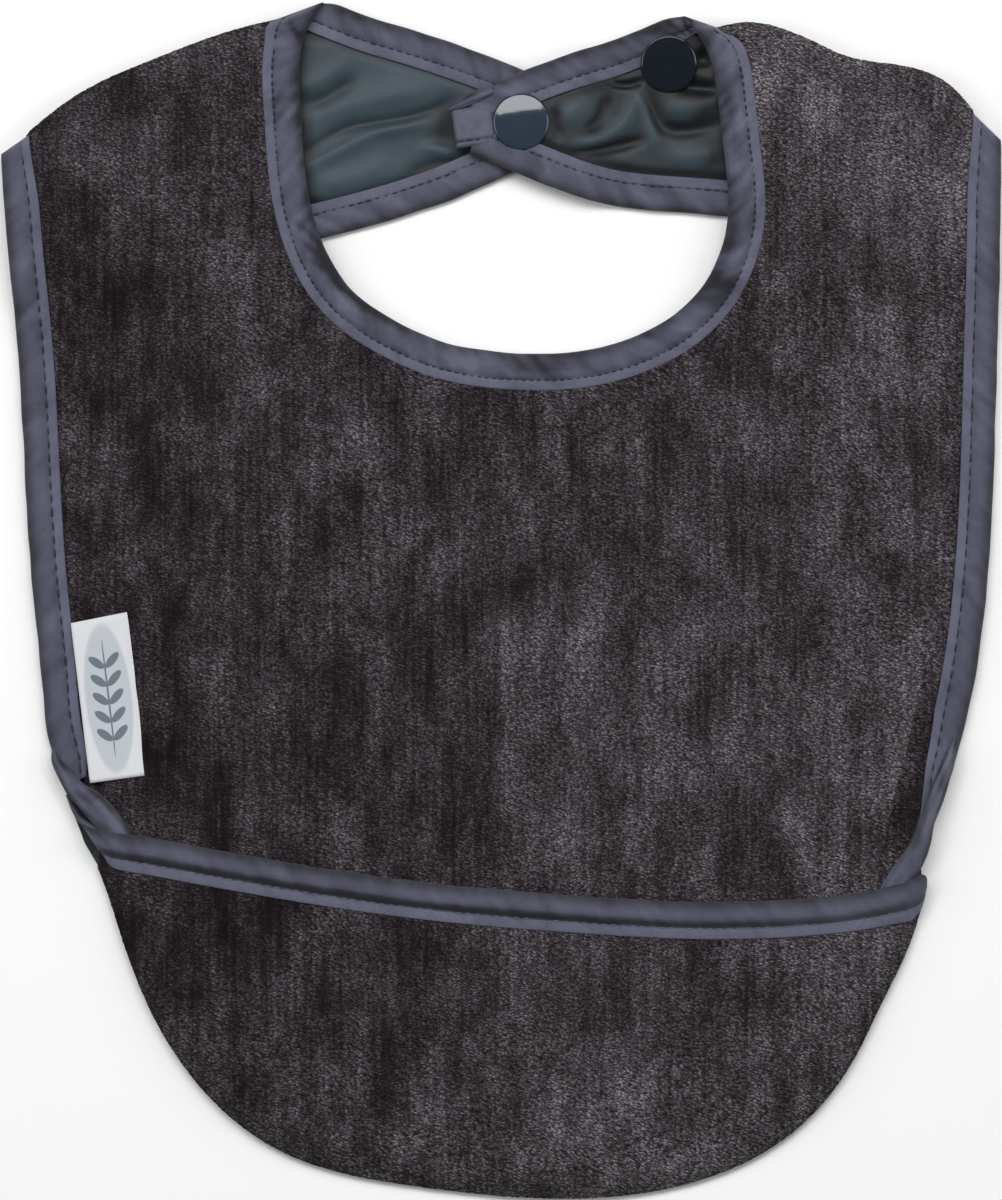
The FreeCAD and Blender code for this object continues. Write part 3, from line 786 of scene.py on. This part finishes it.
def rolled_tape(name, line, body):
    """Tape rolled up lengthwise. The line's points are (x, y, height of the middle, width, thickness)."""
    ring = 24
    path = resampled(line, 0.6)
    s = lengths(path[:, :2])
    for _ in range(6):
        path[1:-1] = (path[:-2] + path[1:-1] * 2 + path[2:]) / 4
    side = normals(path)
    verts, uv, painted_shade = [], [], []
    for i, (x, y, z, wide, thick) in enumerate(path):
        for j in range(ring):
            a = 2 * pi * j / ring
            streak = noise((s[i] / 9, 2.2 * cos(a), 2.2 * sin(a) + 5.5))
            streak += 0.5 * noise((s[i] / 3, j / 3, 1.5))
            pucker = 1 + 0.09 * streak
            # Painted shade: darker towards the roll's two sides, lighter along its streaks.
            painted_shade.append(min(1, max(0, 0.2 + 0.75 * abs(cos(a)) ** 2.5 - 0.6 * streak)))
            u, v = cos(a) * wide / 2 * pucker, sin(a) * thick / 2 * pucker
            verts.append((x + side[i, 0] * u, y + side[i, 1] * u, z + v))
            uv.append((s[i] * TAPE_UV, a * wide / 2 * TAPE_UV))
    faces = turned_over(tube_faces(len(path), ring))
    make(name, verts, faces, BINDING, "binding", body, uv=uv, painted_shade=np.array(painted_shade))


rolled_tape("left_side_tuck", [
    (-112.0, -36.0, 1.8, 0.5, 0.6), (-111.5, -40.0, 3.0, 2.4, 2.6), (-108.8, -44.0, 3.7, 4.0, 3.3),
    (-106.4, -47.6, 4.1, 4.8, 3.2), (-102.5, -50.6, 4.9, 6.4, 4.0), (-98.6, -54.8, 4.5, 6.2, 3.6),
    (-94, -60, 3.9, 5.4, 3.0),
], "bib")
rolled_tape("left_side_tuck_edge", [
    (-108.6, -48.6, 2.2, 0.7, 1.0), (-107, -52.3, 2.5, 1.2, 1.4), (-105, -55.2, 2.9, 1.8, 1.8),
    (-102.2, -57.2, 3.4, 2.2, 2.0), (-99, -58.6, 3.6, 2.2, 2.0),
], "bib")
rolled_tape("right_side_tuck", [
    (114.6, -30, 2.0, 0.5, 0.8), (111.9, -40.5, 3.6, 3.2, 3.4), (108.9, -48.5, 4.4, 4.2, 4.0),
    (106.5, -55, 4.3, 3.8, 5.2), (105.2, -60.5, 4.3, 5.0, 5.6), (102.8, -65.2, 4.2, 6.0, 5.0),
    (98.9, -70, 4.2, 5.4, 3.4), (96, -75, 3.8, 5.0, 3.0),
], "bib")

# ---- The straps ----


def strap_towelling(name, outline, base, **more):
    """The strap's towelling, seen from below, which turns up to the middle of the shoulder's edge."""

    def height(x, y):
        return shoulder_round(x, y, base(x, y) + 0.15 + 0.1 * wobble(x, y, 9, 5.5), SHOULDER_TOP / 2)

    return panel(name, outline, height, 2.0, TOWELLING, "towelling", down=True, **more)


left_neck_edge, left_outer_edge = smooth(LEFT_NECK_EDGE), smooth(LEFT_OUTER_EDGE)
left_tip = smooth(LEFT_TIP)
right_neck_edge, right_outer_edge = smooth(RIGHT_NECK_EDGE), smooth(RIGHT_OUTER_EDGE)
STRAP_INSET = 4.0  # how far the straps' cut edges lie inside their tapes
SHOULDER_INSET = 4.0  # how far the nylon stays behind the turn at a shoulder

LEFT_FOLDS = [
    (
        [(-49.8, 111.3), (-43.3, 115.8), (-38.3, 118.3), (-29.3, 119.8), (-18.8, 122.3), (-12.8, 125.3)],
        1.3, -0.8,
    ),
    ([(-49, 107.5), (-40, 112.6), (-30, 117.2), (-17, 119.5)], 1.8, 0.7),
    ([(-49.3, 109.4), (-42.5, 113.8), (-38, 116)], 0.6, -0.4),
    ([(-49.3, 123.8), (-44.8, 125.3), (-39.3, 128.8), (-35.8, 131)], 2.2, -0.9),
    ([(-50, 128), (-43, 131), (-37, 136)], 2.4, 0.5),
    ([(-48, 120), (-32, 125), (-16, 128)], 3.0, 0.6),
    ([(-15, 125), (-13.6, 119), (-15, 112)], 3.6, -0.45),
    ([(-20, 112.5), (-15.3, 112.6), (-12, 111)], 1.6, 0.7),
    ([(-24, 106.5), (-15.8, 109.3), (-11, 110.5)], 1.4, -0.8),
    ([(-46, 103.5), (-36, 106), (-27, 109.5)], 2.6, 0.5),
]
RIGHT_FOLDS = [
    ([(27, 129.5), (30.3, 128.8), (35.5, 129.9)], 0.7, -1.4),
    ([(33.8, 127.3), (36.2, 121.5), (38.8, 113)], 1.5, 0.9),
    ([(36.5, 127), (38.6, 122), (40.8, 118.4), (47, 117.4), (54.5, 119)], 1.7, -1.0),
    ([(41, 124), (47, 123.2), (54, 124)], 2.4, 0.6),
    ([(42, 111.5), (48, 111), (54, 112)], 2.4, 0.5),
    ([(19.5, 113.2), (26.5, 116), (31.6, 120.2), (33.6, 126)], 1.6, 0.9),
    ([(20.3, 116.8), (24.2, 119.6), (26.6, 126.3)], 1.4, -0.9),
    ([(15, 122), (19.5, 122.6), (23, 126)], 2.2, 0.6),
    ([(14, 123), (13.6, 119), (15.5, 114.5)], 1.6, -0.8),
    ([(18, 111.5), (25, 112.6), (31.8, 114.2), (36, 115.4)], 1.4, -1.0),
    ([(43, 128.6), (48, 128.4), (54.5, 127.6)], 1.5, -1.5),
    ([(48.5, 140), (50, 136.5), (51.4, 133)], 2.4, -1.6),
]


def creases(x, y, lines):
    """The nylon's folds, with small waves between them."""
    return folds(x, y, lines) + 0.12 * wobble(x, y, 5, 3.3) + 0.15 * wobble(x, y, 11, 8.3)


def nylon_height(base, edges, lines):
    """The height of a strap's nylon, which lies flat under the snap and under the tapes' lips."""

    def height(x, y):
        near = np.hypot(x - SNAP_INNER[0], y - SNAP_INNER[1])
        clear = ramp(distance(edges, np.stack([x, y], axis=1)) - STRAP_TAPE, -0.2, 2.2)
        risen = 0.45 + creases(x, y, lines) * ramp(near, 5, 10)
        return base(x, y) + CLOTH - 0.35 + risen * clear

    return height


def painted_shade_of(lines, gain, edges, reach, pit, shade=0.0):
    """Painted shade for the nylon: dark in its grooves and light on its ridges, dark beside the tapes that
    it goes under, and dark in a pit.

    gain is for the folds, reach is how far from a tape the painted shade still reaches, pit is (x, y,
    radius, depth of painted shade), and shade is the painted shade added everywhere.
    """
    pit_x, pit_y, radius, depth = pit

    def painted_shade(x, y):
        points = np.stack([x, y], axis=1)
        under = 0.85 * (1 - ramp(distance(edges, points) - STRAP_TAPE, -0.3, reach)) ** 2
        under += 0.9 * (1 - ramp(distance(neck, points), 0, 2.2 * reach)) ** 2
        pit_shade = depth * np.exp(-((np.hypot(x - pit_x, y - pit_y) / radius) ** 2))
        return np.clip(shade - gain * folds(x, y, lines) + under + pit_shade, 0, 0.97)

    return painted_shade


left_strap = [
    offset(left_neck_edge, -STRAP_INSET), offset(left_tip, -STRAP_INSET)[2:-2],
    offset(left_outer_edge, -STRAP_INSET),
]
left_edges = np.vstack([left_neck_edge, left_outer_edge])
strap_towelling(
    "left_strap_towelling", np.vstack(left_strap + [left_shoulder]), flat_base,
    body="bib", replaces=["left_strap_towelling"],
)
# The left strap's nylon gets painted shade in its folds, beside the tapes and in a pit by the strap's end.
panel(
    "left_strap_nylon", np.vstack(left_strap + [offset(left_shoulder, -SHOULDER_INSET)]),
    nylon_height(flat_base, left_edges, LEFT_FOLDS), 0.9, NYLON, "nylon", "bib", ["left_strap_nylon"],
    painted_shade=painted_shade_of(LEFT_FOLDS, 0.8, left_edges, 2.6, (-12.5, 117, 6, 0.7)),
)
STRAP_LOOK = {"width": STRAP_TAPE, "pitch": 2.3, "roll": 0.6}
add_tape(tape(
    "left_strap_neck_binding", LEFT_NECK_EDGE + LEFT_TIP[1:], -1, flat_base, seed=41,
    start=(-13, -4.6), start_level=3.0, **STRAP_LOOK,
))
add_tape(tape(
    "left_strap_outer_binding", LEFT_OUTER_EDGE, -1, flat_base, seed=47,
    end=(4, 2.8), end_level=3.0, **STRAP_LOOK,
))


def bent(obj):
    """Bakes the placement of a piece of the right strap into its mesh."""
    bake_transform(obj)


right_edges = np.vstack([right_neck_edge, right_outer_edge])
right_strap = offset(right_neck_edge, -STRAP_INSET), offset(right_outer_edge, -STRAP_INSET)
bent(strap_towelling(
    "right_strap_towelling", np.vstack([right_strap[0], right_shoulder, right_strap[1]]), strap_base,
    replaces=["right_strap_towelling", "strap_end_towelling"],
))
# The right strap's nylon gets painted shade in its folds and beside the tapes, darker all over and darkest
# by the outer snap.
bent(panel(
    "right_strap_nylon",
    np.vstack([right_strap[0], offset(right_shoulder, -SHOULDER_INSET), right_strap[1]]),
    nylon_height(strap_base, right_edges, RIGHT_FOLDS), 0.9, NYLON, "nylon",
    replaces=["right_strap_nylon", "strap_end_nylon"],
    painted_shade=painted_shade_of(RIGHT_FOLDS, 1.15, right_edges, 5.0, (50, 134, 13, 1.0), shade=0.54),
))
RIGHT_APEX_MARKS = [
    ([(40.6, 145.2), (43.8, 143), (46.8, 140.6)], 0.5, -0.9),
    ([(45.6, 145.4), (46.8, 143), (48.4, 141)], 0.6, -0.9),
    ([(36, 141.6), (40, 142.2), (44, 141.4)], 1.4, -0.5),
]
right_neck_tape = tape(
    "right_strap_neck_binding", RIGHT_NECK_EDGE, -1, strap_base, seed=53,
    end=(8, -2.8), end_level=3.0, marks=RIGHT_APEX_MARKS, **STRAP_LOOK,
)
for piece in add_tape(right_neck_tape, None, ["right_strap_neck_binding", "strap_end_neck_binding"]):
    bent(piece)
right_outer_tape = tape(
    "right_strap_outer_binding", RIGHT_OUTER_EDGE, -1, strap_base, seed=59,
    start=(-2, 2.8), start_level=3.0, **STRAP_LOOK,
)
for piece in add_tape(right_outer_tape, None, ["right_strap_outer_binding", "strap_end_outer_binding"]):
    bent(piece)

# ---- Snap fasteners ----


def turned(name, profile, centre, height, body, flip=False, tilt=0.0, shade=0.0):
    """A round piece from (radius, height) points, the first of them on its axis.

    tilt is how fast it rises towards the neck's back, and shade how much shade is painted into its colour.
    """
    sides = 72
    sign = -1 if flip else 1
    verts, faces = [(centre[0], centre[1], height + sign * profile[0][1])], []
    for r, z in profile[1:]:
        for j in range(sides):
            a = 2 * pi * j / sides
            level = height + sign * z + tilt * r * sin(a)
            verts.append((centre[0] + r * cos(a), centre[1] + r * sin(a), level))
    for j in range(sides):
        k = (j + 1) % sides
        faces.append((0, 1 + j, 1 + k))
        for i in range(len(profile) - 2):
            a, b = 1 + i * sides, 1 + (i + 1) * sides
            faces.append((a + j, b + j, b + k, a + k))
    last = 1 + (len(profile) - 2) * sides
    faces.append(tuple(last + j for j in range(sides))[::-1])
    if flip:
        faces = turned_over(faces)
    shaded = np.full(len(verts), shade)
    make(name, verts, faces, PLASTIC, "snap_plastic", body, [name], painted_shade=shaded)


def cap_profile():
    """A slightly domed cap with a rounded rim."""
    flat, round_rim, dome = 6.4, 0.7, 0.85
    steps = 12
    top = [(flat * k / steps, 2.1 - dome * (k / steps) ** 2) for k in range(steps + 1)]
    turn = [radians(10 * k) for k in range(2, 10)]
    edge = [(flat + round_rim * sin(a), 0.57 + 0.68 * cos(a)) for a in turn]
    return top + edge + [(7.1, 0.3), (6.9, 0.05), (6.4, 0.0)]


STUD = [
    (0, 2.1), (1.1, 2.1), (1.55, 1.95), (1.7, 1.6), (1.55, 1.1), (1.6, 0.85), (2.2, 0.8), (4.6, 0.75),
    (5.1, 0.55), (5.2, 0.25), (5.1, 0.0),
]
SOCKET = [
    (0, 0.35), (1.7, 0.35), (1.85, 1.2), (2.05, 1.55), (2.6, 1.6), (3.3, 1.5), (3.6, 1.1), (4.6, 0.95),
    (5.3, 0.8), (5.6, 0.45), (5.5, 0.0),
]
CAP = cap_profile()
turned("inner_snap_cap", CAP, SNAP_INNER, STRAP_LIFT + CLOTH, "strap_end")
# The outer cap is darkened with painted shade.
turned("outer_snap_cap", CAP, SNAP_OUTER, CLOTH + 0.9, "bib", tilt=0.2, shade=0.85)
turned("left_snap_cap", CAP, SNAP_INNER, 2.1, "bib", flip=True)
turned("left_snap_stud", STUD, SNAP_INNER, CLOTH + 0.1, "bib")
turned("inner_snap_socket", SOCKET, SNAP_INNER, STRAP_LIFT + 1.6, "strap_end", flip=True)
turned("outer_snap_socket", SOCKET, SNAP_OUTER, 1.6, "bib", flip=True)

# ---- The tape folded over the right strap's end ----


def end_tab():
    """A flat pad of folded tape with rounded edges and one row of stitches."""
    corners = np.array([(-12.5, 122.4), (-2.3, 123.9), (-1.1, 114.0), (-11.1, 112.8)])
    across, down = 24, 36
    hem = 0.84  # how far down the stitches are
    verts, uv, faces, painted_shade = [], [], [], []
    for upper in (True, False):
        for i in range(down + 1):
            for j in range(across + 1):
                a, b = j / across, i / down
                left = corners[0] * (1 - b) + corners[3] * b
                right = corners[1] * (1 - b) + corners[2] * b
                p = left * (1 - a) + right * a
                round_off = 0.9 * (1 - min(1, min(a, 1 - a, b, 1 - b) * 10)) ** 2
                dent = 0.18 * noise((p[0] / 2.5, p[1] / 2.5, 1.7))
                groove = 0.4 * np.exp(-(((b - hem) * 10.0 / 0.45) ** 2))
                z = CLOTH + 1.15 - round_off + dent - groove if upper else 0.15 + round_off * 0.8
                verts.append((p[0], p[1], STRAP_LIFT + z))
                # Painted shade: dark in the stitch groove and on the rounded edges, and an even middle
                # value underneath.
                painted_shade.append(min(1, 0.1 + 1.2 * groove + 0.6 * round_off - dent) if upper else 0.5)
                uv.append((a * 1.0, b * 1.1))
    n = across + 1
    under = n * (down + 1)
    for i in range(down):
        for j in range(across):
            a = i * n + j
            faces.append((a, a + n, a + n + 1, a + 1))
            faces.append((under + a, under + a + 1, under + a + n + 1, under + a + n))
    border = list(range(n)) + [i * n + across for i in range(1, down + 1)]
    border += [down * n + j for j in range(across - 1, -1, -1)]
    border += [i * n for i in range(down - 1, 0, -1)]
    for a, b in zip(border, border[1:] + border[:1]):
        faces.append((a, b, under + b, under + a))
    row = corners[0] * (1 - hem) + corners[3] * hem, corners[1] * (1 - hem) + corners[2] * hem
    row = np.column_stack([row, [STRAP_LIFT + CLOTH + 0.85] * 2])
    threads = stitch_mesh(row, 2.2, 3.0, gap=(0.6, 1.5))
    make("strap_end_fold_tab_stitches", *threads, THREAD, "binding", "strap_end")
    make(
        "strap_end_fold_tab", verts, faces, BINDING, "binding", "strap_end", ["strap_end_fold_tab"],
        uv=uv, painted_shade=np.array(painted_shade),
    )


end_tab()
FOLD_LEVEL = STRAP_LIFT + CLOTH + 0.5
rolled_tape("strap_end_fold_corner", [
    (-13.1, 122.4, FOLD_LEVEL, 0.8, 1.2), (-11.6, 123.2, FOLD_LEVEL, 1.8, 1.6),
    (-8.6, 124.6, FOLD_LEVEL, 2.6, 1.8), (-5, 126.2, FOLD_LEVEL, 3.0, 1.6),
    (-2.2, 127.4, FOLD_LEVEL - 0.4, 2.0, 1.0),
], "strap_end")

# ---- The pocket ----


RIM_RADIUS = 9.0  # the round turn of the cloth at the rim
RIM_FOOT = 0.35  # the height of the towelling's edge at the rim
LINING_FOOT = 0.9


def rim_share(x, y):
    """The share of the pocket's height at each point: 0 at the rim and 1 inside."""
    d = np.clip(distance(rim, np.stack([x, y], axis=1)) / RIM_RADIUS, 0, 1)
    return np.sqrt(np.clip(1 - (1 - d) ** 2, 0, 1))


def pocket_front_top(x, y):
    """The face of the pocket's towelling, which turns down to the floor at the rim."""
    top = pocket_top(x, y) + 0.5 * wobble(x, y, 38, 12.5) + 0.2 * wobble(x, y, 12, 14.5)
    top += 0.07 * wobble(x, y * 0.5, 4, 17.5)
    return RIM_FOOT + (top - RIM_FOOT) * rim_share(x, y)


def pocket_lining_height(x, y):
    """The lining's face, inside the towelling."""
    risen = (pocket_top(x, y) - 2.3 - LINING_FOOT) * rim_share(x, y)
    return LINING_FOOT + risen + 0.15 * wobble(x, y, 10, 18.5)


def pocket_base(x, y):
    """The underside of the pocket's front at its mouth."""
    return np.maximum(pocket_front_top(x, y) - CLOTH, 0.5)


MIDDLE = 12.0  # where the pocket's two halves meet


def opened(obj):
    """Bakes the placement of a piece of half the pocket's front into its mesh."""
    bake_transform(obj)


def half(points, side):
    """The part of a line on one side of the pocket's middle, ending exactly there."""
    p = np.asarray(points)[:, :2]
    keep = p[(p[:, 0] - MIDDLE) * side > 0.05]
    order = np.argsort(p[:, 0])
    cut = (MIDDLE, float(np.interp(MIDDLE, p[order, 0], p[order, 1])))
    return np.vstack([keep, [cut]]) if side < 0 else np.vstack([[cut], keep])


def pocket_half(side, lower_edge, step):
    """The outline of half a sheet of the pocket's front, with points a step apart down the middle."""
    bottom, top = half(lower_edge, side), half(offset(mouth, -5.0)[2:-8], side)
    if side < 0:
        seam = resampled([bottom[-1], top[-1]], step)[1:-1]
        return np.vstack([bottom, seam, top[::-1]])
    seam = resampled([bottom[0], top[0]], step)[1:-1]
    return np.vstack([bottom, top[::-1], seam[::-1]])


FACE_STEP, LINING_STEP = 1.6, 3.0
for side, word in ((-1, "left"), (1, "right")):
    opened(panel(
        "pocket_towelling_" + word, pocket_half(side, fuzzy(rim), FACE_STEP), pocket_front_top, FACE_STEP,
        TOWELLING, "towelling", replaces=["pocket_towelling"],
    ))
    lining_plan = pocket_half(side, offset(rim, 2.0), LINING_STEP)
    opened(panel(
        "pocket_lining_" + word, lining_plan, pocket_lining_height, LINING_STEP,
        NYLON, "nylon", replaces=["pocket_lining"], down=True,
    ))

MOUTH_LEFT = [
    (-105.3, -55.6), (-101.6, -57.2), (-97.6, -57.9), (-93.5, -58.4), (-81, -60.5), (-50, -66),
    (0, -72.3), (12, -73.2),
]
MOUTH_RIGHT = [(12, -73.2), (50, -75.3), (80, -74.2), (95, -72), (102.3, -69.7), (107.4, -67.3)]
for side, line, word, ends in (
    (-1, MOUTH_LEFT, "left", {"start": (6.2, -9.8), "start_level": 2.6, "count_from_end": True}),
    (1, MOUTH_RIGHT, "right", {"end": (-2.2, -11.5), "end_level": 3.2, "round_end": True}),
):
    mouth_tape = tape(
        "pocket_mouth_binding_" + word, line, -1, pocket_base, width=9.3, lip=2.6, roll=1.9,
        pitch=2.4, step=0.4, seed=61, seam_shade=0.9, pucker=0.28, **ends,
    )
    for piece in add_tape(mouth_tape, None, ["pocket_mouth_binding"], PALE_THREAD):
        opened(piece)


def seam_base(x, y):
    """The seam tape lies on the towelling."""
    return np.full(len(x), 2.75)


add_tape(tape(
    "pocket_seam_binding", resampled(offset(rim, 3.0), 14), 1, seam_base,
    width=7.5, cloth=0.9, roll=0.4, pitch=3.0, seed=71,
))

# ---- The label ----
LABEL_CORNERS = [(-107.6, -5.8), (-93.5, -3), (-88.5, -43.8), (-102.8, -45.8)]
LABEL_LEVEL = 3.15


def side_label():
    """A folded ribbon: two layers with a soft fold at the far edge."""
    a, b, c, d = (np.array(corner, float) for corner in LABEL_CORNERS)
    across, down = 20, 40
    there, back = range(across + 1), range(across, -1, -1)
    verts, uv = [], []
    for i in range(down + 1):
        g = i / down
        left, right = a * (1 - g) + d * g, b * (1 - g) + c * g
        for order, upper in ((there, True), (back, False)):
            for j in order:
                f = j / across
                x, y = left * (1 - f) + right * f
                bow = 0.9 * sin(pi * f) * (0.6 + 0.4 * cos(2 * pi * g)) + 0.25 * noise((f * 2, g * 3, 4.2))
                thick = 0.45 * min(1, (1 - f) * 8) ** 0.5
                verts.append((x, y, LABEL_LEVEL + bow * 0.5 + (thick if upper else 0)))
                uv.append((f * 1.44, (1 - g) * 4.1))
    faces = tube_faces(down + 1, 2 * (across + 1))
    make("side_label", verts, faces, LABEL, "label", "label", ["side_label"], uv=uv)


side_label()


# ---- Floor, light and camera ----
CAMERA_HEIGHT = 2.0
VIEW_HEIGHT = 0.300  # how much of the bib's length the picture shows
FOCUS_LEVEL = 0.004  # the cloth's height, where that is so
SENSOR = 24

bpy.ops.mesh.primitive_plane_add(size=8, location=(0, 0, -0.0002))
floor = bpy.context.object
floor.name = "floor"
floor.data.materials.append(floor_material())


def area_light(name, place, size, power):
    """A white rectangular light that shines at the bib's middle."""
    light = bpy.data.lights.new(name, "AREA")
    light.shape = "RECTANGLE"
    light.size, light.size_y = size
    light.energy = power
    obj = bpy.data.objects.new(name, light)
    obj.location = place
    obj.rotation_euler = (-Vector(place)).to_track_quat("-Z", "Y").to_euler()
    bpy.context.scene.collection.objects.link(obj)


area_light("key", (-0.1, 0.76, 1.43), (2.0, 0.5), 24)
area_light("left", (-1.3, 0.0, 1.0), (0.8, 1.2), 9)
area_light("right", (1.3, 0.1, 1.0), (0.8, 1.2), 9)

world = bpy.data.worlds.new("studio")
world.use_nodes = True
world.node_tree.nodes["Background"].inputs["Color"].default_value = (0.95, 0.97, 1.0, 1)
world.node_tree.nodes["Background"].inputs["Strength"].default_value = 0.12
bpy.context.scene.world = world

camera_data = bpy.data.cameras.new("camera")
camera_data.sensor_fit = "VERTICAL"
camera_data.sensor_height = SENSOR
camera_data.lens = SENSOR * (CAMERA_HEIGHT - FOCUS_LEVEL) / VIEW_HEIGHT
camera = bpy.data.objects.new("camera", camera_data)
camera.location = (0, 0, CAMERA_HEIGHT)
bpy.context.scene.collection.objects.link(camera)
bpy.context.scene.camera = camera
bpy.context.scene.view_settings.view_transform = "Standard"
